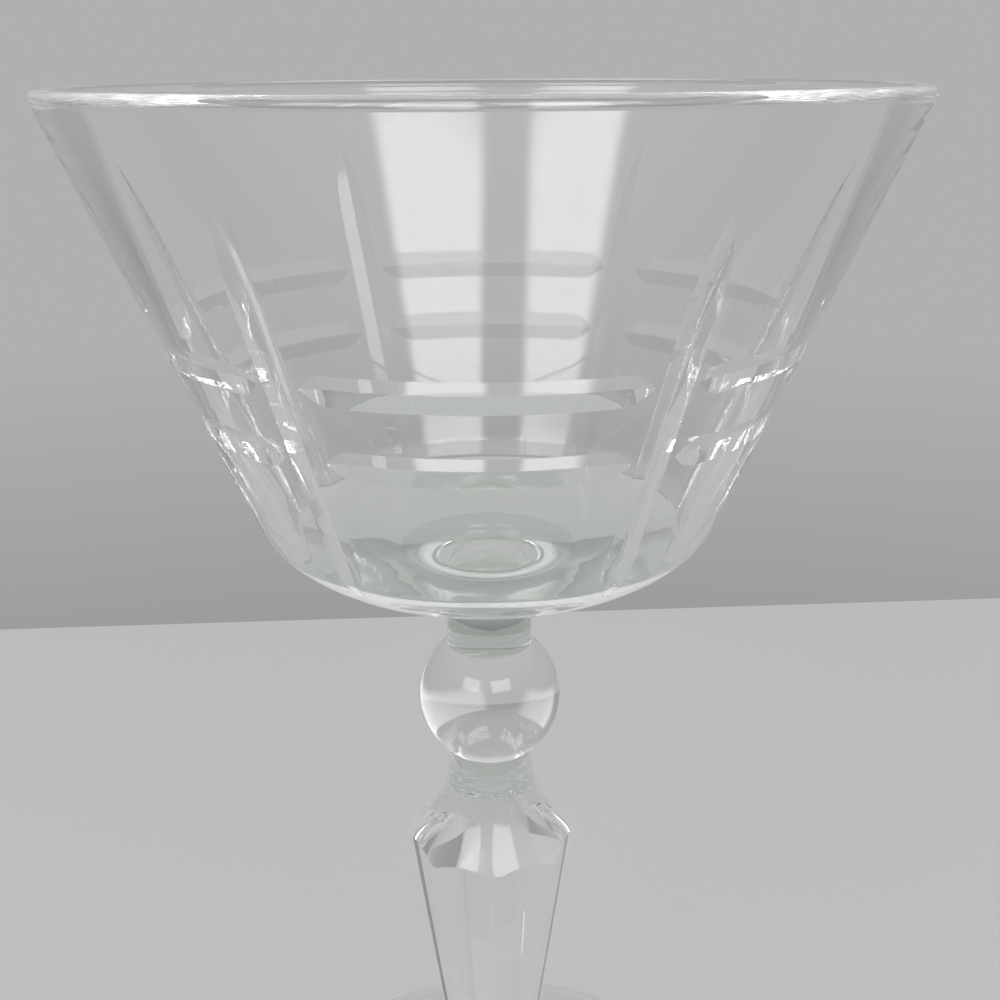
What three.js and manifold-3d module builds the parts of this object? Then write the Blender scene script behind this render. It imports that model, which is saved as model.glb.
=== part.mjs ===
// A stemmed cocktail glass, built up from the table: foot, stem, ball knop, collar and bowl.
// Each piece is one gather of clear glass, fused hot to the flat end of the piece under it.
// Millimetres, +Z up, origin on the table under the middle of the foot. One cut panel of the bowl faces -Y.

import * as THREE from 'three';
import { mergeVertices } from 'three/addons/utils/BufferGeometryUtils.js';
import Module from 'manifold-3d';

const wasm = await Module();
wasm.setup();

// Foot
const footDiameter = 68;
const footHeight = 9;
const footEdge = 2.4;
const footRiseRadius = 12;
const footRiseHeight = 5.2;
const restRingWidth = 7;
const restRingInset = 1.2;
const kickDepth = 1.2;

// Stem
const stemHeight = 57.5;
const stemFootDiameter = 13.2;
const slimDiameter = 9.4;
const slimHeight = 6;
const shoulderDiameter = 21;
const shoulderHeight = 44;
const shoulderCurve = 1.5;
const waistDiameter = 10.4;
const waistLength = 3;
const waistCurve = 5;
const facetCount = 8;
const facetFlatTop = 19.2;
const facetFlatLow = 9.3;
const facetLowHeight = 9;
const facetRunRadius = 15;
const facetTurn = 4;

// Ball knop and collar
const ballDiameter = 17.2;
const collarHeight = 8.7;
const collarDiameter = 10.1;
const collarSeatDiameter = 21;
const collarFlare = 5;

// Bowl
const rimDiameter = 90;
const bowlHeight = 55;
const heelDiameter = 52.6;
const heelHeight = 9;
const rimWall = 1.9;
const heelWall = 3;
const floorThickness = 5.6;
const innerHeelHeight = 7.6;

// Cuts in the bowl, made with the edge of one wheel
const wheelAngle = 156;
const fluteCount = 6;
const fluteDepth = 0.48;
const fluteTopDrop = 8.6;
const fluteEndHeight = 5.8;
const fluteTopRun = 10;
const fluteEndRun = 7;
const bandDrops = [24.6, 32.3];
const bandDepth = 0.42;
const bandRun = 3.2;
const bandLand = 0.2;

// Facets of the round surfaces
const bowlSides = 72;
const footSides = 64;
const stemSides = 48;
const curveSteps = 6;
const bottomSteps = 8;
const rimSteps = 5;
const cutSteps = 16;

// How far a cutter stands out of the surface that it cuts, and how far its ends start outside it
const cutterLift = 0.4;
const cutterLead = 0.05;

// Points closer than this are one corner of a mesh
const weldDistance = 1e-5;

const clearGlass = 0xe6ece8;
const greenGlass = 0xd3e2d8;
const glassRoughness = 0.03;
const glassOpacity = 0.35;

// Turns a shape drawn with its height along +Y so that it stands along +Z.
const upright = new THREE.Matrix4().set(1, 0, 0, 0, 0, 0, -1, 0, 0, 1, 0, 0, 0, 0, 0, 1);

// A closed manifold solid from a closed geometry, without the slivers that a lathe leaves on its axis.
function solidFrom(geometry) {
  const bare = geometry.clone();
  bare.deleteAttribute('normal');
  bare.deleteAttribute('uv');
  const merged = mergeVertices(bare, weldDistance);
  const corners = merged.index.array;
  const kept = [];
  for (let i = 0; i < corners.length; i += 3) {
    const [a, b, c] = corners.slice(i, i + 3);
    if (a !== b && b !== c && c !== a) kept.push(a, b, c);
  }
  return new wasm.Manifold(new wasm.Mesh({
    numProp: 3,
    vertProperties: merged.attributes.position.array,
    triVerts: Uint32Array.from(kept),
  }));
}

function geometryFrom(solid) {
  const { vertProperties, triVerts } = solid.getMesh();
  const geometry = new THREE.BufferGeometry();
  geometry.setAttribute('position', new THREE.BufferAttribute(vertProperties, 3));
  geometry.setIndex(new THREE.BufferAttribute(triVerts, 1));
  geometry.computeVertexNormals();
  return geometry;
}

// A solid of revolution about +Z. The profile holds [radius, height] points, from the axis at the bottom,
// up the outside, to the axis at the top.
function turned(profile, sides) {
  const lathe = new THREE.LatheGeometry(profile.map(([r, z]) => new THREE.Vector2(r, z)), sides);
  return solidFrom(lathe.applyMatrix4(upright));
}

function bezier(start, startHandle, endHandle, end) {
  const points = [start, startHandle, endHandle, end].map(([r, z]) => new THREE.Vector2(r, z));
  return new THREE.CubicBezierCurve(...points).getPoints(curveSteps).map((p) => [p.x, p.y]);
}

function piece(name, solid, color) {
  const material = new THREE.MeshStandardMaterial({
    color, roughness: glassRoughness, metalness: 0, transparent: true, opacity: glassOpacity,
  });
  const mesh = new THREE.Mesh(geometryFrom(solid), material);
  mesh.name = name;
  return mesh;
}

// Foot: a cast disc that rises to the stem. It rests on a ring near its edge, around a shallow hollow.
function makeFoot() {
  const edgeRadius = footEdge / 2;
  const edgeCentre = footDiameter / 2 - edgeRadius;
  const ringOuter = footDiameter / 2 - restRingInset;
  const ringInner = ringOuter - restRingWidth;
  const joint = stemFootDiameter / 2;
  const hollow = bezier(
    [0, kickDepth],
    [ringInner / 3, kickDepth],
    [2 * ringInner / 3, kickDepth / 3],
    [ringInner, 0],
  );
  const edge = [];
  const lowestEdge = -Math.acos((ringOuter - edgeCentre) / edgeRadius);
  for (let i = 0; i <= rimSteps; i += 1) {
    const angle = THREE.MathUtils.lerp(lowestEdge, Math.PI / 2, i / rimSteps);
    edge.push([edgeCentre + edgeRadius * Math.cos(angle), edgeRadius * (1 + Math.sin(angle))]);
  }
  edge[0] = [ringOuter, 0];
  const top = bezier(
    [edgeCentre, footEdge],
    [footRiseRadius, footRiseHeight],
    [joint, footRiseHeight],
    [joint, footHeight],
  );
  return turned([...hollow, ...edge, ...top.slice(1), [0, footHeight]], footSides);
}

// Stem: a turned blank with a waist and a shoulder, ground with flat facets that taper to its slim end.
function stemBlank() {
  const flare = bezier(
    [stemFootDiameter / 2, 0],
    [slimDiameter / 2, slimHeight / 3],
    [slimDiameter / 2, 2 * slimHeight / 3],
    [slimDiameter / 2, slimHeight],
  );
  const shoulder = bezier(
    [shoulderDiameter / 2, shoulderHeight],
    [shoulderDiameter / 2, shoulderHeight + shoulderCurve],
    [waistDiameter / 2, stemHeight - waistLength - waistCurve],
    [waistDiameter / 2, stemHeight - waistLength],
  );
  const end = [[waistDiameter / 2, stemHeight], [0, stemHeight]];
  return turned([[0, 0], ...flare, ...shoulder, ...end], stemSides);
}

// One grinding cut: the facet's plane seen from its side, run out of the stem in an arc at its low end.
function facetCutter() {
  const topRadius = facetFlatTop / 2;
  const lowRadius = facetFlatLow / 2;
  const slope = Math.atan2(topRadius - lowRadius, shoulderHeight - facetLowHeight);
  const outside = shoulderDiameter;
  const overTop = stemHeight - shoulderHeight;
  const shape = new THREE.Shape();
  shape.moveTo(topRadius + overTop * Math.tan(slope), shoulderHeight + overTop);
  shape.lineTo(lowRadius, facetLowHeight);
  shape.absarc(
    lowRadius + facetRunRadius * Math.cos(slope),
    facetLowHeight - facetRunRadius * Math.sin(slope),
    facetRunRadius,
    Math.PI - slope,
    Math.PI + Math.PI / 4,
    false,
  );
  shape.lineTo(outside, -facetRunRadius);
  shape.lineTo(outside, shoulderHeight + overTop);
  shape.closePath();
  const width = shoulderDiameter;
  const cutter = new THREE.ExtrudeGeometry(shape, {
    depth: width,
    bevelEnabled: false,
    curveSegments: curveSteps,
  });
  cutter.translate(0, 0, -width / 2);
  return cutter.applyMatrix4(upright);
}

function makeStem() {
  let stem = stemBlank();
  const halfFacet = Math.PI / facetCount;
  const front = -Math.PI / 2 + THREE.MathUtils.degToRad(facetTurn);
  for (let i = 0; i < facetCount; i += 1) {
    const turn = front + halfFacet * (2 * i + 1);
    stem = stem.subtract(solidFrom(facetCutter().rotateZ(turn)));
  }
  return stem;
}

// Ball knop: a sphere with a flat where it meets the stem and another where the collar stands on it.
const ballRadius = ballDiameter / 2;
const ballCentre = Math.sqrt(ballRadius ** 2 - (waistDiameter / 2) ** 2);
const ballHeight = ballCentre + Math.sqrt(ballRadius ** 2 - (collarDiameter / 2) ** 2);

function makeBall() {
  const low = -Math.asin(ballCentre / ballRadius);
  const high = Math.asin((ballHeight - ballCentre) / ballRadius);
  const steps = 2 * curveSteps;
  const side = [];
  for (let i = 0; i <= steps; i += 1) {
    const angle = THREE.MathUtils.lerp(low, high, i / steps);
    side.push([ballRadius * Math.cos(angle), ballCentre + ballRadius * Math.sin(angle)]);
  }
  side[0] = [waistDiameter / 2, 0];
  side[steps] = [collarDiameter / 2, ballHeight];
  return turned([[0, 0], ...side, [0, ballHeight]], stemSides);
}

// Collar: a short neck of glass that flares to a seat under the bowl, where it runs on into the bowl's bottom.
function makeCollar() {
  const neck = collarDiameter / 2;
  const seat = collarSeatDiameter / 2;
  const flareStart = collarHeight - collarFlare;
  const blend = (seat - neck) / 2;
  const blendRise = blend / outerBottom.slopeAt(outerBottom.start);
  const flare = bezier(
    [neck, flareStart],
    [neck, flareStart + collarFlare / 2],
    [seat - blend, collarHeight - blendRise],
    [seat, collarHeight],
  );
  return turned([[0, 0], [neck, 0], ...flare, [0, collarHeight]], stemSides);
}

// The rounded bottom that runs on from a straight side: an ellipse through the end of the flat under it,
// tangent to the side at the heel.
function roundedBottom(flatRadius, flatHeight, heelRadius, heelAt, slope) {
  const rise = heelAt - flatHeight;
  const squash = (heelRadius ** 2 - flatRadius ** 2 - 2 * rise * heelRadius * slope) / rise ** 2;
  const overHeel = heelRadius * slope / squash;
  const centre = heelAt + overHeel;
  const wide = Math.sqrt(heelRadius ** 2 + squash * overHeel ** 2);
  const tall = wide / Math.sqrt(squash);
  return {
    start: -Math.acos(flatRadius / wide),
    end: -Math.acos(heelRadius / wide),
    angleAt: (height) => Math.asin((height - centre) / tall),
    pointAt: (angle) => [wide * Math.cos(angle), centre + tall * Math.sin(angle)],
    slopeAt: (angle) => -wide * Math.tan(angle) / tall,
  };
}

function bottomPoints(bottom) {
  const points = [];
  for (let i = 0; i <= bottomSteps; i += 1) {
    points.push(bottom.pointAt(THREE.MathUtils.lerp(bottom.start, bottom.end, i / bottomSteps)));
  }
  return points;
}

const rimRadius = rimDiameter / 2;
const sideTop = bowlHeight - rimWall / 2;
const heelRadius = heelDiameter / 2;
const sideSlope = (rimRadius - heelRadius) / (sideTop - heelHeight);
const outerBottom = roundedBottom(collarSeatDiameter / 2, 0, heelRadius, heelHeight, sideSlope);

// Bowl blank: blown with a thick bottom and a wall that thins towards a fire-polished rim.
function bowlBlank() {
  const innerRim = rimRadius - rimWall;
  const innerHeel = heelRadius - heelWall;
  const innerSlope = (innerRim - innerHeel) / (sideTop - heelHeight);
  const innerBend = innerHeel + (innerHeelHeight - heelHeight) * innerSlope;
  const innerBottom = roundedBottom(0, floorThickness, innerBend, innerHeelHeight, innerSlope);
  const outside = bottomPoints(outerBottom);
  outside[0] = [collarSeatDiameter / 2, 0];
  const inside = bottomPoints(innerBottom);
  inside[0] = [0, floorThickness];
  const rim = [];
  for (let i = 0; i <= rimSteps; i += 1) {
    const angle = Math.PI * i / rimSteps;
    const bead = rimWall / 2;
    rim.push([rimRadius - bead + bead * Math.cos(angle), sideTop + bead * Math.sin(angle)]);
  }
  return turned([[0, 0], ...outside, ...rim, ...inside.reverse()], bowlSides);
}

// The bowl's outer surface by height: its radius and its slope outwards.
function outsideAt(height) {
  if (height >= heelHeight) {
    return { radius: heelRadius + (height - heelHeight) * sideSlope, slope: sideSlope };
  }
  const angle = outerBottom.angleAt(height);
  return { radius: outerBottom.pointAt(angle)[0], slope: outerBottom.slopeAt(angle) };
}

// How fast the sides of a cut move apart with its depth
const wheelSpread = Math.tan(THREE.MathUtils.degToRad(wheelAngle / 2));

// Shares of a cut's length at which it has a station, closer together where the wheel goes in and out.
const shares = Array.from({ length: cutSteps + 1 }, (_, i) => (1 - Math.cos(Math.PI * i / cutSteps)) / 2);

// How deep a cut is at a place along it: it starts and ends at the surface, as the wheel goes in and out.
function wheelDepth(depth, fromStart, startRun, toEnd, endRun) {
  const goingIn = 1 - Math.min(1, fromStart / startRun);
  const goingOut = 1 - Math.min(1, toEnd / endRun);
  return depth * (1 - goingIn ** 2) * (1 - goingOut ** 2);
}

// A solid with the wheel's V edge along a path of stations on the surface, each with a point, the outward
// normal, the direction across the cut (the path runs along across x normal), and the depth there.
function mitreCutter(stations) {
  const corners = [];
  stations.forEach(({ point, normal, across, depth }) => {
    const bottom = point.clone().addScaledVector(normal, cutterLead - depth);
    const top = point.clone().addScaledVector(normal, cutterLead + cutterLift);
    const half = (depth + cutterLift) * wheelSpread;
    const left = top.clone().addScaledVector(across, half);
    const right = top.clone().addScaledVector(across, -half);
    corners.push(bottom, left, right);
  });
  const index = [0, 2, 1];
  for (let i = 0; i + 3 < corners.length; i += 3) {
    for (let side = 0; side < 3; side += 1) {
      const here = i + side;
      const beside = i + (side + 1) % 3;
      index.push(here, beside, here + 3, beside, beside + 3, here + 3);
    }
  }
  const last = corners.length - 3;
  index.push(last, last + 1, last + 2);
  return solidFrom(new THREE.BufferGeometry().setFromPoints(corners).setIndex(index));
}

// A point of the bowl's outer surface, with its normal and its directions around and up.
function surfaceFrame(height, angle) {
  const { radius, slope } = outsideAt(height);
  const away = new THREE.Vector3(Math.sin(angle), -Math.cos(angle), 0);
  const around = new THREE.Vector3(Math.cos(angle), Math.sin(angle), 0);
  const normal = away.clone().setZ(-slope).normalize();
  const point = away.clone().multiplyScalar(radius).setZ(height);
  return { radius, point, normal, around, up: normal.clone().cross(around) };
}

// Flute: an upright cut from a point under the rim, over the heel, to a point under the bowl.
function fluteCutter(angle) {
  const top = bowlHeight - fluteTopDrop;
  const frames = shares.map((share) => (
    surfaceFrame(THREE.MathUtils.lerp(top, fluteEndHeight, share), angle)
  ));
  let length = 0;
  const places = frames.map((frame, i) => {
    if (i > 0) length += frame.point.distanceTo(frames[i - 1].point);
    return length;
  });
  return mitreCutter(frames.map(({ point, normal, around }, i) => {
    const depth = wheelDepth(fluteDepth, places[i], fluteTopRun, length - places[i], fluteEndRun);
    return { point, normal, across: around, depth };
  }));
}

// Band: a level cut across the panel between two flutes, clear of where a flute comes out of the round wall.
function bandCutter(height, middle) {
  const { radius } = surfaceFrame(height, middle);
  const wallBack = radius / wheelSpread;
  const fluteHalfWidth = Math.sqrt(wallBack ** 2 + 2 * radius * fluteDepth) - wallBack;
  const reach = Math.PI / fluteCount - (fluteHalfWidth + bandLand) / radius;
  return mitreCutter(shares.map((share) => {
    const angle = THREE.MathUtils.lerp(-reach, reach, share);
    const { point, normal, up } = surfaceFrame(height, middle + angle);
    const fromStart = (reach + angle) * radius;
    const toEnd = (reach - angle) * radius;
    const depth = wheelDepth(bandDepth, fromStart, bandRun, toEnd, bandRun);
    return { point, normal, across: up, depth };
  }));
}

function makeBowl() {
  let bowl = bowlBlank();
  for (let i = 0; i < fluteCount; i += 1) {
    const panel = 2 * Math.PI * i / fluteCount;
    bowl = bowl.subtract(fluteCutter(panel + Math.PI / fluteCount));
    bandDrops.forEach((drop) => {
      bowl = bowl.subtract(bandCutter(bowlHeight - drop, panel));
    });
  }
  return bowl;
}

// The pieces stand on one another, each on the flat top of the one before.
const stack = [
  [piece('foot', makeFoot(), clearGlass), footHeight],
  [piece('stem', makeStem(), clearGlass), stemHeight],
  [piece('ball_knop', makeBall(), clearGlass), ballHeight],
  [piece('collar', makeCollar(), greenGlass), collarHeight],
  [piece('bowl', makeBowl(), clearGlass), bowlHeight],
];

const group = new THREE.Group();
let level = 0;
stack.forEach(([mesh, height]) => {
  mesh.position.z = level;
  group.add(mesh);
  level += height;
});

export default group;
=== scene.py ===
import math

import bmesh
import bpy
from mathutils import Matrix, Vector


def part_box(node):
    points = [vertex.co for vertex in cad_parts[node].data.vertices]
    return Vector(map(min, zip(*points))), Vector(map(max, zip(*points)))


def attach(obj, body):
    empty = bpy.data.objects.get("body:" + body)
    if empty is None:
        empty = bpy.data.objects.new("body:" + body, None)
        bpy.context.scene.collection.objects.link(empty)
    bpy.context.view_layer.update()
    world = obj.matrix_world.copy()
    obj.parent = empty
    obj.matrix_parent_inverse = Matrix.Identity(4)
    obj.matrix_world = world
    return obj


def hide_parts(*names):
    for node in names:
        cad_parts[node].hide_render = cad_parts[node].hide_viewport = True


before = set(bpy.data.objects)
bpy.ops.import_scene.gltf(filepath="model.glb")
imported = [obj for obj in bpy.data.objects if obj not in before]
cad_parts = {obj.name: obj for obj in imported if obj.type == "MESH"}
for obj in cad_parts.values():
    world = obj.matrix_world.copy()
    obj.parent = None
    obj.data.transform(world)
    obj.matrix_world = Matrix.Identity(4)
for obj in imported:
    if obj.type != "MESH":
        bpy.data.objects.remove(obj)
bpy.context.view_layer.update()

# Foot
# A pressed disc of clear glass that thickens to the stem in one curve. It stands on a ring near its
# edge, around a shallow hollow, and its top was fused to the stem while both were hot.
mm = 0.001
foot_bottom, foot_top = (corner.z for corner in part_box("foot"))
foot_radius = 34 * mm
foot_edge_radius = 1.2 * mm
foot_rise = (12 * mm, 5.2 * mm)
foot_joint_radius = 6.6 * mm
rest_ring_outer = 32.8 * mm
rest_ring_inner = 25.8 * mm
hollow_depth = 1.2 * mm
turning_steps = 192
weld_distance = 0.002 * mm
crease_angle = math.radians(9)


def arc(centre, radius, start, end, steps):
    """Points of an arc in an outline, with its angles in degrees from the way out."""
    points = []
    for i in range(steps + 1):
        angle = math.radians(start + (end - start) * i / steps)
        points.append((centre[0] + radius * math.cos(angle), centre[1] + radius * math.sin(angle)))
    return points


def sweep(start, start_handle, end_handle, end, steps):
    """Points of a Bezier curve in an outline."""
    points = []
    for i in range(steps + 1):
        t = i / steps
        shares = ((1 - t) ** 3, 3 * t * (1 - t) ** 2, 3 * t * t * (1 - t), t ** 3)
        corners = (start, start_handle, end_handle, end)
        points.append(tuple(sum(s * c[k] for s, c in zip(shares, corners)) for k in (0, 1)))
    return points


def turned(name, outline, steps=turning_steps):
    """Extrudes a point along half an outline, of (radius, height) points, and spins it about the axis."""
    bpy.ops.object.select_all(action="DESELECT")
    bpy.ops.mesh.primitive_plane_add(size=mm)
    piece = bpy.context.object
    piece.name = piece.data.name = name
    bpy.ops.object.mode_set(mode="EDIT")
    bpy.ops.mesh.select_all(action="SELECT")
    bpy.ops.mesh.merge(type="CENTER")
    bpy.ops.transform.translate(value=(outline[0][0], 0, outline[0][1]))
    for (radius, height), (next_radius, next_height) in zip(outline, outline[1:]):
        step = (next_radius - radius, 0, next_height - height)
        bpy.ops.mesh.extrude_region_move(TRANSFORM_OT_translate={"value": step})
    bpy.ops.mesh.select_all(action="SELECT")
    bpy.ops.mesh.spin(steps=steps, angle=2 * math.pi, center=(0, 0, 0), axis=(0, 0, 1))
    bpy.ops.mesh.select_all(action="SELECT")
    bpy.ops.mesh.remove_doubles(threshold=weld_distance)
    bpy.ops.mesh.normals_make_consistent(inside=False)
    bpy.ops.object.mode_set(mode="OBJECT")
    bpy.ops.object.shade_smooth_by_angle(angle=crease_angle)
    return piece


foot_edge_centre = (foot_radius - foot_edge_radius, foot_bottom + foot_edge_radius)
lowest_edge = -math.degrees(math.acos((rest_ring_outer - foot_edge_centre[0]) / foot_edge_radius))
foot_outline = sweep(
    (0, foot_bottom + hollow_depth),
    (rest_ring_inner / 3, foot_bottom + hollow_depth),
    (2 * rest_ring_inner / 3, foot_bottom + hollow_depth / 3),
    (rest_ring_inner, foot_bottom),
    steps=12,
)
foot_outline += [(rest_ring_outer, foot_bottom)]
foot_outline += arc(foot_edge_centre, foot_edge_radius, lowest_edge, 90, steps=24)[1:]
foot_outline += sweep(
    (foot_edge_centre[0], foot_bottom + 2 * foot_edge_radius),
    (foot_rise[0], foot_bottom + foot_rise[1]),
    (foot_joint_radius, foot_bottom + foot_rise[1]),
    (foot_joint_radius, foot_top),
    steps=32,
)[1:]
foot_outline += [(0, foot_top)]
foot = turned("foot_disc", foot_outline)

glass_index = 1.52
shade_tint = (0.95, 0.955, 0.95)
ripple_depth = 0.02 * mm
wave_scale = 230
wipe_scale = 70
wipe_limits = (0.52, 0.8)
wipe_roughness = 0.05


def polished_glass_group():
    """How glass varies: a green tint with painted shade that fades with height, faint wipe marks and
    ripples.
    """
    group = bpy.data.node_groups.new("Polished glass", "ShaderNodeTree")
    face = group.interface
    face.new_socket("Clear Tint", in_out="INPUT", socket_type="NodeSocketColor")
    face.new_socket("Shaded Green Tint", in_out="INPUT", socket_type="NodeSocketColor")
    face.new_socket("Shaded Level", in_out="INPUT", socket_type="NodeSocketFloat")
    face.new_socket("Clear Level", in_out="INPUT", socket_type="NodeSocketFloat")
    face.new_socket("Ripple Scale", in_out="INPUT", socket_type="NodeSocketFloat")
    face.new_socket("Wave Depth", in_out="INPUT", socket_type="NodeSocketFloat")
    face.new_socket("Tint", in_out="OUTPUT", socket_type="NodeSocketColor")
    face.new_socket("Roughness", in_out="OUTPUT", socket_type="NodeSocketFloat")
    face.new_socket("Ripple", in_out="OUTPUT", socket_type="NodeSocketFloat")
    nodes, links = group.nodes, group.links
    given = nodes.new("NodeGroupInput")
    result = nodes.new("NodeGroupOutput")
    place = nodes.new("ShaderNodeTexCoord")
    height = nodes.new("ShaderNodeSeparateXYZ")
    links.new(place.outputs["Object"], height.inputs[0])
    clearing = nodes.new("ShaderNodeMapRange")
    clearing.interpolation_type = "SMOOTHSTEP"
    links.new(height.outputs["Z"], clearing.inputs["Value"])
    links.new(given.outputs["Shaded Level"], clearing.inputs["From Min"])
    links.new(given.outputs["Clear Level"], clearing.inputs["From Max"])
    # The tint runs from the darker green with painted shade at one height to the clear tint at another.
    tint = nodes.new("ShaderNodeMix")
    tint.data_type = "RGBA"
    links.new(clearing.outputs["Result"], tint.inputs["Factor"])
    links.new(given.outputs["Shaded Green Tint"], tint.inputs["A"])
    links.new(given.outputs["Clear Tint"], tint.inputs["B"])
    links.new(tint.outputs["Result"], result.inputs["Tint"])
    wiped = nodes.new("ShaderNodeTexNoise")
    wiped.inputs["Scale"].default_value = wipe_scale
    wiped.inputs["Detail"].default_value = 4
    links.new(place.outputs["Object"], wiped.inputs["Vector"])
    marks = nodes.new("ShaderNodeMapRange")
    marks.inputs["From Min"].default_value = wipe_limits[0]
    marks.inputs["From Max"].default_value = wipe_limits[1]
    marks.inputs["To Max"].default_value = wipe_roughness
    links.new(wiped.outputs["Fac"], marks.inputs["Value"])
    links.new(marks.outputs["Result"], result.inputs["Roughness"])
    ripple = nodes.new("ShaderNodeTexNoise")
    ripple.inputs["Detail"].default_value = 1
    links.new(place.outputs["Object"], ripple.inputs["Vector"])
    links.new(given.outputs["Ripple Scale"], ripple.inputs["Scale"])
    waves = nodes.new("ShaderNodeTexNoise")
    waves.inputs["Scale"].default_value = wave_scale
    waves.inputs["Detail"].default_value = 0
    links.new(place.outputs["Object"], waves.inputs["Vector"])
    fade = nodes.new("ShaderNodeMapRange")
    fade.inputs["To Max"].default_value = 0
    links.new(given.outputs["Wave Depth"], fade.inputs["To Min"])
    links.new(clearing.outputs["Result"], fade.inputs["Value"])
    relief = nodes.new("ShaderNodeMath")
    relief.operation = "MULTIPLY_ADD"
    links.new(waves.outputs["Fac"], relief.inputs[0])
    links.new(fade.outputs["Result"], relief.inputs[1])
    links.new(ripple.outputs["Fac"], relief.inputs[2])
    links.new(relief.outputs["Value"], result.inputs["Ripple"])
    return group


polished_glass = polished_glass_group()


def glass_material(name, clear_tint, shaded_green_tint, shaded_level, clear_level, ripple_scale, wave_depth):
    """Clear glass that bends light for the eye, and lets the light of the lamps through to the table."""
    material = bpy.data.materials.new(name)
    material.use_nodes = True
    nodes, links = material.node_tree.nodes, material.node_tree.links
    shader = nodes["Principled BSDF"]
    shader.inputs["Transmission Weight"].default_value = 1
    shader.inputs["IOR"].default_value = glass_index
    surface = nodes.new("ShaderNodeGroup")
    surface.node_tree = polished_glass
    surface.inputs["Clear Tint"].default_value = (*clear_tint, 1)
    surface.inputs["Shaded Green Tint"].default_value = (*shaded_green_tint, 1)
    surface.inputs["Shaded Level"].default_value = shaded_level
    surface.inputs["Clear Level"].default_value = clear_level
    surface.inputs["Ripple Scale"].default_value = ripple_scale
    surface.inputs["Wave Depth"].default_value = wave_depth
    links.new(surface.outputs["Tint"], shader.inputs["Base Color"])
    links.new(surface.outputs["Roughness"], shader.inputs["Roughness"])
    bump = nodes.new("ShaderNodeBump")
    bump.inputs["Distance"].default_value = ripple_depth
    links.new(surface.outputs["Ripple"], bump.inputs["Height"])
    links.new(bump.outputs["Normal"], shader.inputs["Normal"])
    rays = nodes.new("ShaderNodeLightPath")
    lamp_ray = nodes.new("ShaderNodeMath")
    lamp_ray.operation = "MAXIMUM"
    links.new(rays.outputs["Is Shadow Ray"], lamp_ray.inputs[0])
    links.new(rays.outputs["Is Diffuse Ray"], lamp_ray.inputs[1])
    through = nodes.new("ShaderNodeBsdfTransparent")
    through.inputs["Color"].default_value = (*shade_tint, 1)
    seen = nodes.new("ShaderNodeMixShader")
    links.new(lamp_ray.outputs["Value"], seen.inputs["Fac"])
    links.new(shader.outputs["BSDF"], seen.inputs[1])
    links.new(through.outputs["BSDF"], seen.inputs[2])
    links.new(seen.outputs["Shader"], nodes["Material Output"].inputs["Surface"])
    return material


def joint_material():
    """The face between two fused pieces, where glass runs on into glass and nothing shows."""
    material = bpy.data.materials.new("fused_joint")
    material.use_nodes = True
    material.node_tree.nodes["Principled BSDF"].inputs["Alpha"].default_value = 0
    return material


fused_joint = joint_material()


def finish_glass(piece, node, material, joints):
    """Gives a piece its glass, its clear joint faces at these heights, and its place in the frame."""
    piece.data.materials.append(material)
    piece.data.materials.append(fused_joint)
    for face in piece.data.polygons:
        corners = [piece.data.vertices[i].co.z for i in face.vertices]
        if any(all(abs(z - level) < weld_distance for z in corners) for level in joints):
            face.material_index = 1
    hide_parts(node)
    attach(piece, "root")


clear_tint = (0.985, 0.99, 0.985)
foot_thick_tint = (0.94, 0.965, 0.945)
foot_glass = glass_material(
    "foot_glass", clear_tint, foot_thick_tint, foot_bottom, foot_top, ripple_scale=60, wave_depth=0.4
)
finish_glass(foot, "foot", foot_glass, [foot_top])

# Stem
# A pressed baluster with a waist and a shoulder. Eight flat facets were ground down its sides and
# polished. They taper to the slim end and run out in an arc over the foot.
stem_bottom, stem_top = (corner.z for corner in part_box("stem"))
slim_radius = 4.7 * mm
slim_height = 6 * mm
shoulder_radius = 10.5 * mm
shoulder_height = 44 * mm
shoulder_curve = 1.5 * mm
waist_radius = 5.2 * mm
waist_length = 3 * mm
waist_curve = 5 * mm
facet_count = 8
facet_flat_top = 9.6 * mm
facet_flat_low = 4.65 * mm
facet_low_height = 9 * mm
facet_run_radius = 15 * mm
facet_run_end_degrees = 225
facet_turn = math.radians(4)

stem_outline = [(0, stem_bottom)] + sweep(
    (foot_joint_radius, stem_bottom),
    (slim_radius, stem_bottom + slim_height / 3),
    (slim_radius, stem_bottom + 2 * slim_height / 3),
    (slim_radius, stem_bottom + slim_height),
    steps=20,
)
stem_outline += sweep(
    (shoulder_radius, stem_bottom + shoulder_height),
    (shoulder_radius, stem_bottom + shoulder_height + shoulder_curve),
    (waist_radius, stem_top - waist_length - waist_curve),
    (waist_radius, stem_top - waist_length),
    steps=32,
)
stem_outline += [(waist_radius, stem_top), (0, stem_top)]
stem = turned("stem_baluster", stem_outline)


def cut(piece, cutters):
    """Takes the shape of the cutters, joined, out of a piece."""
    bpy.ops.object.select_all(action="DESELECT")
    for cutter in cutters:
        cutter.select_set(True)
    tool = cutters[0]
    bpy.context.view_layer.objects.active = tool
    bpy.ops.object.join()
    bpy.ops.object.select_all(action="DESELECT")
    piece.select_set(True)
    bpy.context.view_layer.objects.active = piece
    bpy.ops.object.modifier_add(type="BOOLEAN")
    wheel = piece.modifiers[-1]
    wheel.operation = "DIFFERENCE"
    wheel.solver = "EXACT"
    wheel.object = tool
    bpy.ops.object.modifier_apply(modifier=wheel.name)
    bpy.data.objects.remove(tool)
    bpy.ops.object.shade_smooth_by_angle(angle=crease_angle)


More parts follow.
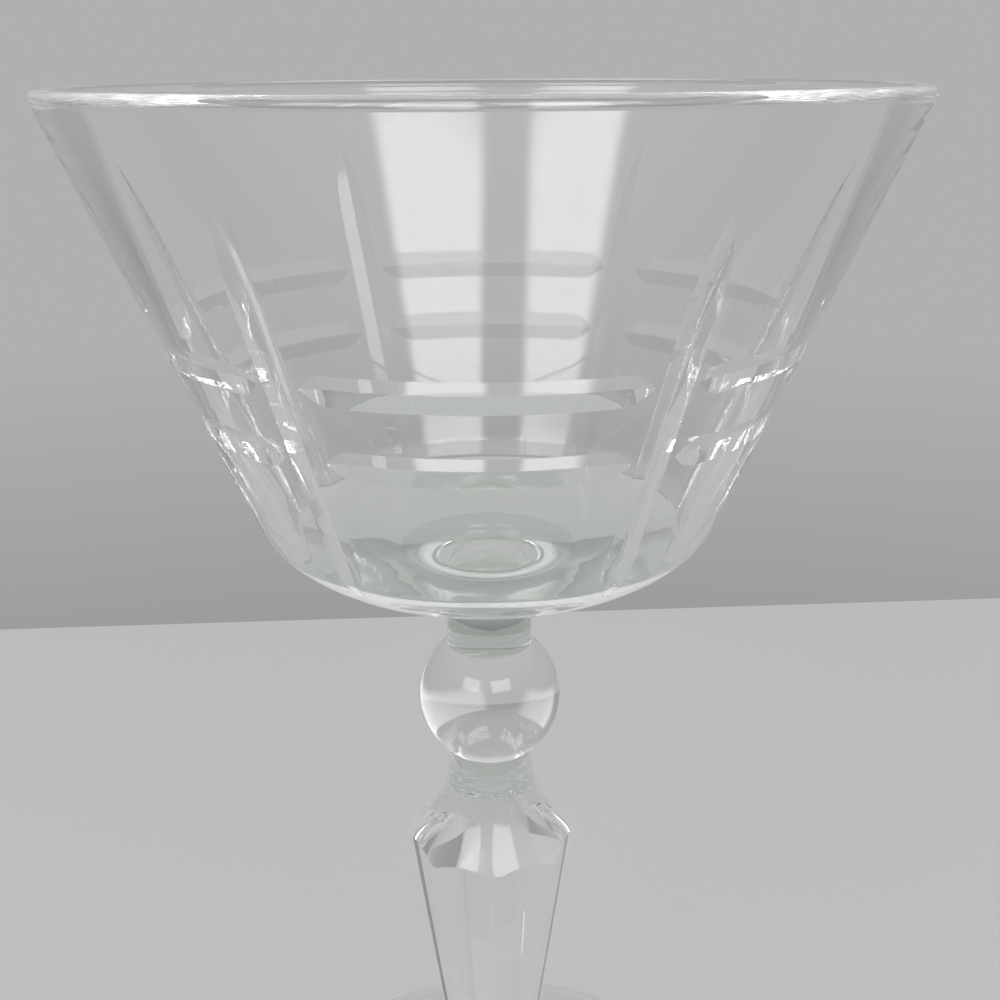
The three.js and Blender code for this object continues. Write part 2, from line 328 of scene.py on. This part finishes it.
def facet_cutter(turn):
    """What one grinding takes off: all outside the facet's plane and the arc at its low end."""
    slope = math.atan2(facet_flat_top - facet_flat_low, shoulder_height - facet_low_height)
    above = stem_top - stem_bottom - shoulder_height
    top = (facet_flat_top + above * math.tan(slope), stem_bottom + shoulder_height + above)
    run_centre = (
        facet_flat_low + facet_run_radius * math.cos(slope),
        stem_bottom + facet_low_height - facet_run_radius * math.sin(slope),
    )
    run_start_degrees = 180 - math.degrees(slope)
    run_out = arc(run_centre, facet_run_radius, run_start_degrees, facet_run_end_degrees, steps=24)
    outline = [top, *run_out, (2 * shoulder_radius, run_out[-1][1]), (2 * shoulder_radius, top[1])]
    width = 2 * shoulder_radius
    bpy.ops.object.select_all(action="DESELECT")
    bpy.ops.mesh.primitive_plane_add(size=mm)
    cutter = bpy.context.object
    bpy.ops.object.mode_set(mode="EDIT")
    bpy.ops.mesh.select_all(action="SELECT")
    bpy.ops.mesh.merge(type="CENTER")
    bpy.ops.transform.translate(value=(outline[0][0], -width / 2, outline[0][1]))
    for here, there in zip(outline, outline[1:]):
        step = (there[0] - here[0], 0, there[1] - here[1])
        bpy.ops.mesh.extrude_region_move(TRANSFORM_OT_translate={"value": step})
    bpy.ops.mesh.select_all(action="SELECT")
    bpy.ops.mesh.edge_face_add()
    bpy.ops.mesh.extrude_region_move(TRANSFORM_OT_translate={"value": (0, width, 0)})
    bpy.ops.mesh.select_all(action="SELECT")
    bpy.ops.mesh.normals_make_consistent(inside=False)
    bpy.ops.object.mode_set(mode="OBJECT")
    cutter.data.transform(Matrix.Rotation(turn, 4, "Z"))
    return cutter


front = -math.pi / 2
for i in range(facet_count):
    cut(stem, [facet_cutter(front + facet_turn + math.pi * (2 * i + 1) / facet_count)])
# The waist's tint is the glass's faint green with painted shade, darkest at the waist and clear at the
# shoulder.
waist_shaded_tint = (0.73, 0.765, 0.74)
shoulder_level = stem_bottom + shoulder_height
waist_level = stem_top - waist_length
stem_glass = glass_material(
    "stem_glass", clear_tint, waist_shaded_tint, waist_level, shoulder_level, ripple_scale=80, wave_depth=0.5
)
finish_glass(stem, "stem", stem_glass, [stem_bottom, stem_top])

# Ball knop
# A round gather of clear glass, dropped on the end of the stem while hot and left fire-polished. It is
# fused to the stem's waist below and to the collar above.
ball_bottom, ball_top = (corner.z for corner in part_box("ball_knop"))
ball_radius = 8.6 * mm
collar_radius = 5.05 * mm
ball_middle = ball_bottom + math.sqrt(ball_radius ** 2 - waist_radius ** 2)
ball_low = -math.degrees(math.acos(waist_radius / ball_radius))
ball_high = math.degrees(math.acos(collar_radius / ball_radius))
ball_side = arc((0, ball_middle), ball_radius, ball_low, ball_high, steps=48)
ball_outline = [(0, ball_bottom), (waist_radius, ball_bottom), *ball_side[1:-1]]
ball_outline += [(collar_radius, ball_top), (0, ball_top)]
ball = turned("ball_knop_glass", ball_outline)
# The ball's tint is faint green with painted shade, darkest at its bottom and clear at its top.
ball_shaded_tint = (0.89, 0.905, 0.895)
ball_glass = glass_material(
    "ball_glass", clear_tint, ball_shaded_tint, ball_bottom, ball_top, ripple_scale=70, wave_depth=0
)
finish_glass(ball, "ball_knop", ball_glass, [ball_bottom, ball_top])

# Collar
# A short thick neck of glass, fused to the ball below it, which flares to a seat under the bowl. Its
# colour is faint green glass with painted shade, a little darker at its foot than at the seat.
collar_bottom, collar_top = (corner.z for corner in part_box("collar"))
seat_radius = 10.5 * mm
seat_slope = 0.195
collar_flare = 5 * mm
flare_start = collar_top - collar_flare
blend = (seat_radius - collar_radius) / 2
collar_outline = [(0, collar_bottom), (collar_radius, collar_bottom)] + sweep(
    (collar_radius, flare_start),
    (collar_radius, flare_start + collar_flare / 2),
    (seat_radius - blend, collar_top - blend * seat_slope),
    (seat_radius, collar_top),
    steps=24,
)
collar_outline += [(0, collar_top)]
collar = turned("collar_neck", collar_outline)
# Both tints are faint green glass with painted shade, darker at the collar's foot than at the seat.
seat_shaded_tint = (0.66, 0.7, 0.67)
collar_foot_shaded_tint = (0.57, 0.61, 0.58)
collar_glass = glass_material(
    "collar_glass", seat_shaded_tint, collar_foot_shaded_tint, collar_bottom, collar_top, ripple_scale=90, wave_depth=1
)
finish_glass(collar, "collar", collar_glass, [collar_bottom, collar_top])

# Bowl
# Blown glass, fused to the collar, with a thick bottom, a straight flaring wall and a fire-polished
# rim. Six upright flutes and two rows of level bands were cut into it with the V edge of a wheel,
# then polished.
bowl_bottom, bowl_top = (corner.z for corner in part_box("bowl"))
rim_radius = 45 * mm
rim_wall = 1.9 * mm
heel_radius = 26.3 * mm
heel_height = 9 * mm
heel_wall = 3 * mm
floor_thickness = 5.6 * mm
inner_heel_height = 7.6 * mm
side_top = bowl_top - bowl_bottom - rim_wall / 2
side_slope = (rim_radius - heel_radius) / (side_top - heel_height)
inner_rim_radius = rim_radius - rim_wall
inner_heel_radius = heel_radius - heel_wall
inner_slope = (inner_rim_radius - inner_heel_radius) / (side_top - heel_height)
inner_bend_radius = inner_heel_radius + (inner_heel_height - heel_height) * inner_slope
bowl_steps = 288
bottom_steps = 28
side_steps = 24
rim_steps = 32


def rounded_bottom(flat_radius, flat_height, heel, heel_at, slope):
    """The ellipse under a straight side: its centre height, half width, half height and end angles."""
    rise = heel_at - flat_height
    squash = (heel ** 2 - flat_radius ** 2 - 2 * rise * heel * slope) / rise ** 2
    over_heel = heel * slope / squash
    wide = math.sqrt(heel ** 2 + squash * over_heel ** 2)
    tall = wide / math.sqrt(squash)
    return heel_at + over_heel, wide, tall, -math.acos(flat_radius / wide), -math.acos(heel / wide)


def bottom_points(bottom, steps):
    """Points of a rounded bottom, from its middle to the heel."""
    centre, wide, tall, start, end = bottom
    points = []
    for i in range(steps + 1):
        angle = start + (end - start) * i / steps
        points.append((wide * math.cos(angle), bowl_bottom + centre + tall * math.sin(angle)))
    return points


def straight(start, end, steps):
    """Points of a straight stretch of an outline, without its first."""
    points = []
    for i in range(1, steps + 1):
        points.append(tuple(a + (b - a) * i / steps for a, b in zip(start, end)))
    return points


outer_bottom = rounded_bottom(seat_radius, 0, heel_radius, heel_height, side_slope)
inner_bottom = rounded_bottom(0, floor_thickness, inner_bend_radius, inner_heel_height, inner_slope)
side_top_level = bowl_bottom + side_top
heel_level = bowl_bottom + heel_height
bowl_outline = [(0, bowl_bottom), (seat_radius, bowl_bottom)]
bowl_outline += bottom_points(outer_bottom, bottom_steps)[1:]
bowl_outline += straight((heel_radius, heel_level), (rim_radius, side_top_level), side_steps)
rim_centre = (rim_radius - rim_wall / 2, side_top_level)
bowl_outline += arc(rim_centre, rim_wall / 2, 0, 180, rim_steps)[1:]
inner_bend = (inner_bend_radius, bowl_bottom + inner_heel_height)
bowl_outline += straight((inner_rim_radius, side_top_level), inner_bend, side_steps)
bowl_outline += bottom_points(inner_bottom, bottom_steps)[-2:0:-1]
bowl_outline += [(0, bowl_bottom + floor_thickness)]
bowl = turned("bowl_glass", bowl_outline, bowl_steps)

wheel_angle = math.radians(156)
wheel_spread = math.tan(wheel_angle / 2)
wheel_lift = 0.4 * mm
wheel_lead = 0.05 * mm
flute_count = 6
flute_depth = 0.48 * mm
flute_top_drop = 8.6 * mm
flute_end_height = 5.8 * mm
flute_top_run = 10 * mm
flute_end_run = 7 * mm
band_drops = (24.6 * mm, 32.3 * mm)
band_depth = 0.42 * mm
band_run = 3.2 * mm
band_land = 0.2 * mm
cut_steps = 40
cut_shares = [(1 - math.cos(math.pi * i / cut_steps)) / 2 for i in range(cut_steps + 1)]


def wall_at(height, angle):
    """A point of the bowl's outside, with its way out, its way round and its way up."""
    if height >= heel_height:
        radius, slope = heel_radius + (height - heel_height) * side_slope, side_slope
    else:
        centre, wide, tall = outer_bottom[:3]
        turn = math.asin((height - centre) / tall)
        radius, slope = wide * math.cos(turn), -wide * math.tan(turn) / tall
    away = Vector((math.sin(angle), -math.cos(angle), 0))
    around = Vector((math.cos(angle), math.sin(angle), 0))
    normal = (away - Vector((0, 0, slope))).normalized()
    return away * radius + Vector((0, 0, bowl_bottom + height)), normal, around, normal.cross(around)


def wheel_depth(depth, from_start, start_run, to_end, end_run):
    """The wheel goes into the glass at one end of a cut and comes out at the other."""
    going_in = 1 - min(1, from_start / start_run)
    going_out = 1 - min(1, to_end / end_run)
    return depth * (1 - going_in ** 2) * (1 - going_out ** 2)


def wheel_cutter(stations):
    """A bar with the wheel's V edge: a triangle at the first station, extruded on to each next one."""
    bpy.ops.object.select_all(action="DESELECT")
    bpy.ops.mesh.primitive_circle_add(vertices=3, fill_type="NGON", radius=mm)
    cutter = bpy.context.object
    bpy.ops.object.mode_set(mode="EDIT")
    bpy.ops.mesh.select_all(action="SELECT")
    for number, (point, normal, across, depth) in enumerate(stations):
        if number:
            bpy.ops.mesh.extrude_region_move(TRANSFORM_OT_translate={"value": (0, 0, 0)})
        mesh = bmesh.from_edit_mesh(cutter.data)
        half = (depth + wheel_lift) * wheel_spread
        top = point + normal * (wheel_lead + wheel_lift)
        corners = (point + normal * (wheel_lead - depth), top + across * half, top - across * half)
        for vertex, corner in zip((v for v in mesh.verts if v.select), corners):
            vertex.co = corner
        bmesh.update_edit_mesh(cutter.data)
    bpy.ops.mesh.select_all(action="SELECT")
    bpy.ops.mesh.normals_make_consistent(inside=False)
    bpy.ops.object.mode_set(mode="OBJECT")
    return cutter


def flute_cutter(angle):
    """An upright cut, from a point under the rim to a point under the bowl."""
    top = bowl_top - bowl_bottom - flute_top_drop
    places = [wall_at(top + (flute_end_height - top) * share, angle) for share in cut_shares]
    lengths = [0]
    for here, there in zip(places, places[1:]):
        lengths.append(lengths[-1] + (there[0] - here[0]).length)
    stations = []
    for (point, normal, around, up), length in zip(places, lengths):
        depth = wheel_depth(flute_depth, length, flute_top_run, lengths[-1] - length, flute_end_run)
        stations.append((point, normal, around, depth))
    return wheel_cutter(stations)


def band_cutter(height, middle):
    """A level cut across the panel between two flutes."""
    radius = heel_radius + (height - heel_height) * side_slope
    wall_back = radius / wheel_spread
    flute_half_width = math.sqrt(wall_back ** 2 + 2 * radius * flute_depth) - wall_back
    reach = math.pi / flute_count - (flute_half_width + band_land) / radius
    stations = []
    for share in cut_shares:
        angle = reach * (2 * share - 1)
        point, normal, around, up = wall_at(height, middle + angle)
        from_start, to_end = (reach + angle) * radius, (reach - angle) * radius
        depth = wheel_depth(band_depth, from_start, band_run, to_end, band_run)
        stations.append((point, normal, up, depth))
    return wheel_cutter(stations)


panels = [2 * math.pi * i / flute_count for i in range(flute_count)]
cut(bowl, [flute_cutter(panel + math.pi / flute_count) for panel in panels])
for drop in band_drops:
    cut(bowl, [band_cutter(bowl_top - bowl_bottom - drop, panel) for panel in panels])
# The bowl's tint is faint green glass with painted shade, darkest at the bottom and clear a little above
# the heel.
bowl_heel_shaded_tint = (0.86, 0.9, 0.87)
clear_from = heel_level + 12 * mm
bowl_glass = glass_material(
    "bowl_glass", clear_tint, bowl_heel_shaded_tint, bowl_bottom, clear_from, ripple_scale=50, wave_depth=3
)
finish_glass(bowl, "bowl", bowl_glass, [bowl_bottom])

# Table top
# A plain pale board that the glass stands on. Its far edge lies a little way behind the foot, turned a
# few degrees, and shows as the line behind the collar.
table_width = 1.6
table_front = -1.1
table_back = 0.183
table_turn = math.radians(4.5)
table_color = (0.56, 0.56, 0.55)
table_roughness = 0.6
bpy.ops.object.select_all(action="DESELECT")
table_middle = (0, (table_front + table_back) / 2, foot_bottom)
bpy.ops.mesh.primitive_plane_add(size=1, location=table_middle, rotation=(0, 0, table_turn))
table = bpy.context.object
table.name = "table_top"
table.scale = (table_width, table_back - table_front, 1)
bpy.ops.object.transform_apply(location=True, rotation=True, scale=True)
board = bpy.data.materials.new("pale_board")
board.use_nodes = True
board_shader = board.node_tree.nodes["Principled BSDF"]
board_shader.inputs["Base Color"].default_value = (*table_color, 1)
board_shader.inputs["Roughness"].default_value = table_roughness
table.data.materials.append(board)

# Studio
# A grey backdrop behind the glass, dimmer sides that draw the bowl's outlines, a dim room behind the
# camera and a pale ceiling. Two soft boxes above the camera, left and right, draw the bright bars in
# the bowl.
backdrop_level = 0.435
side_level = 0.3
room_level = 0.12
ceiling_level = 0.83
# Places on the walls run from 0 behind the camera to 1 behind the glass, and heights from -1 to 1.
wall_stops = ((0.02, room_level), (0.34, side_level), (0.7, side_level), (0.94, backdrop_level))
low_wall = (-0.45, -0.2)
low_wall_share = 0.72
ceiling_edge = (0.35, 0.75)
world = bpy.data.worlds.new("studio")
bpy.context.scene.world = world
world.use_nodes = True
nodes, links = world.node_tree.nodes, world.node_tree.links
way = nodes.new("ShaderNodeTexCoord")
parts = nodes.new("ShaderNodeSeparateXYZ")
links.new(way.outputs["Generated"], parts.inputs[0])
walls = nodes.new("ShaderNodeValToRGB")
walls.color_ramp.interpolation = "EASE"
stops = walls.color_ramp.elements
stops.remove(stops[0])
for number, (position, level) in enumerate(wall_stops):
    stop = stops.new(position) if number else stops[0]
    stop.position = position
    stop.color = (level, level, level, 1)
turned_way = nodes.new("ShaderNodeMapRange")
turned_way.inputs["From Min"].default_value = -1
links.new(parts.outputs["Y"], turned_way.inputs["Value"])
links.new(turned_way.outputs["Result"], walls.inputs["Fac"])
falloff = nodes.new("ShaderNodeMapRange")
falloff.inputs["From Min"].default_value = low_wall[0]
falloff.inputs["From Max"].default_value = low_wall[1]
falloff.inputs["To Min"].default_value = low_wall_share
links.new(parts.outputs["Z"], falloff.inputs["Value"])
dimmed = nodes.new("ShaderNodeVectorMath")
dimmed.operation = "SCALE"
links.new(walls.outputs["Color"], dimmed.inputs[0])
links.new(falloff.outputs["Result"], dimmed.inputs["Scale"])
overhead = nodes.new("ShaderNodeMapRange")
overhead.interpolation_type = "SMOOTHSTEP"
overhead.inputs["From Min"].default_value = ceiling_edge[0]
overhead.inputs["From Max"].default_value = ceiling_edge[1]
links.new(parts.outputs["Z"], overhead.inputs["Value"])
room = nodes.new("ShaderNodeMix")
room.data_type = "RGBA"
links.new(overhead.outputs["Result"], room.inputs["Factor"])
links.new(dimmed.outputs["Vector"], room.inputs["A"])
room.inputs["B"].default_value = (ceiling_level, ceiling_level, ceiling_level, 1)
links.new(room.outputs["Result"], nodes["Background"].inputs["Color"])

# Each soft box has its bearing from the camera's side in degrees, and its width.
soft_boxes = (("left_soft_box", -35, 0.92), ("right_soft_box", 23.5, 1.06))
box_distance = 1.6
box_height = 0.78
box_radiance = 3.95
box_elevation = math.radians(35)
soft_edge = 0.15


def soften(lamp):
    """Lets the light of a soft box fade to its edges."""
    lamp.use_nodes = True
    nodes, links = lamp.node_tree.nodes, lamp.node_tree.links
    place = nodes.new("ShaderNodeNewGeometry")
    parts = nodes.new("ShaderNodeSeparateXYZ")
    links.new(place.outputs["Parametric"], parts.inputs[0])
    fades = []
    for axis, side in (("X", lamp.size), ("Y", lamp.size_y)):
        from_edge = nodes.new("ShaderNodeMath")
        from_edge.operation = "PINGPONG"
        from_edge.inputs[1].default_value = 0.5
        links.new(parts.outputs[axis], from_edge.inputs[0])
        fade = nodes.new("ShaderNodeMapRange")
        fade.interpolation_type = "SMOOTHSTEP"
        fade.inputs["From Max"].default_value = soft_edge / side
        links.new(from_edge.outputs["Value"], fade.inputs["Value"])
        fades.append(fade)
    both = nodes.new("ShaderNodeMath")
    both.operation = "MULTIPLY"
    for fade, socket in zip(fades, both.inputs):
        links.new(fade.outputs["Result"], socket)
    links.new(both.outputs["Value"], nodes["Emission"].inputs["Strength"])


for name, turn, width in soft_boxes:
    bearing = math.radians(turn)
    way_out = Vector((
        math.sin(bearing) * math.cos(box_elevation),
        -math.cos(bearing) * math.cos(box_elevation),
        math.sin(box_elevation),
    ))
    lamp = bpy.data.lights.new(name, "AREA")
    lamp.shape = "RECTANGLE"
    lamp.size, lamp.size_y = width, box_height
    lamp.energy = box_radiance * math.pi * width * box_height
    soften(lamp)
    soft_box = bpy.data.objects.new(name, lamp)
    soft_box.location = Vector((0, 0, bowl_top)) + way_out * box_distance
    soft_box.rotation_euler = way_out.to_track_quat("Z", "Y").to_euler()
    bpy.context.scene.collection.objects.link(soft_box)

# Camera
# Close in front of the bowl and just above its rim, looking down. Light crosses many faces in cut glass,
# and a path that ended early would show black, so paths are let run long.
camera_distance = 137.6 * mm
camera_over_rim = 3.08 * mm
camera_azimuth = math.radians(1.6)
camera_pitch = math.radians(19.2)
camera_aim = math.radians(0.58)
camera_roll = math.radians(-0.35)
sensor_width = 36
focal_length = 45.25
light_bounces = 100
lens = bpy.data.cameras.new("camera")
lens.sensor_width = sensor_width
lens.lens = focal_length
lens.clip_start = mm
camera = bpy.data.objects.new("camera", lens)
camera.location = (
    camera_distance * math.sin(camera_azimuth),
    -camera_distance * math.cos(camera_azimuth),
    side_top_level + camera_over_rim,
)
heading = Matrix.Rotation(camera_azimuth - camera_aim, 3, "Z")
tilt = Matrix.Rotation(math.pi / 2 - camera_pitch, 3, "X")
camera.rotation_euler = (heading @ tilt @ Matrix.Rotation(camera_roll, 3, "Z")).to_euler()
bpy.context.scene.collection.objects.link(camera)
bpy.context.scene.camera = camera
bpy.context.scene.view_settings.view_transform = "Standard"
bpy.context.scene.cycles.transmission_bounces = light_bounces
bpy.context.scene.cycles.glossy_bounces = light_bounces
bpy.context.scene.cycles.max_bounces = light_bounces
bpy.context.scene.cycles.transparent_max_bounces = light_bounces
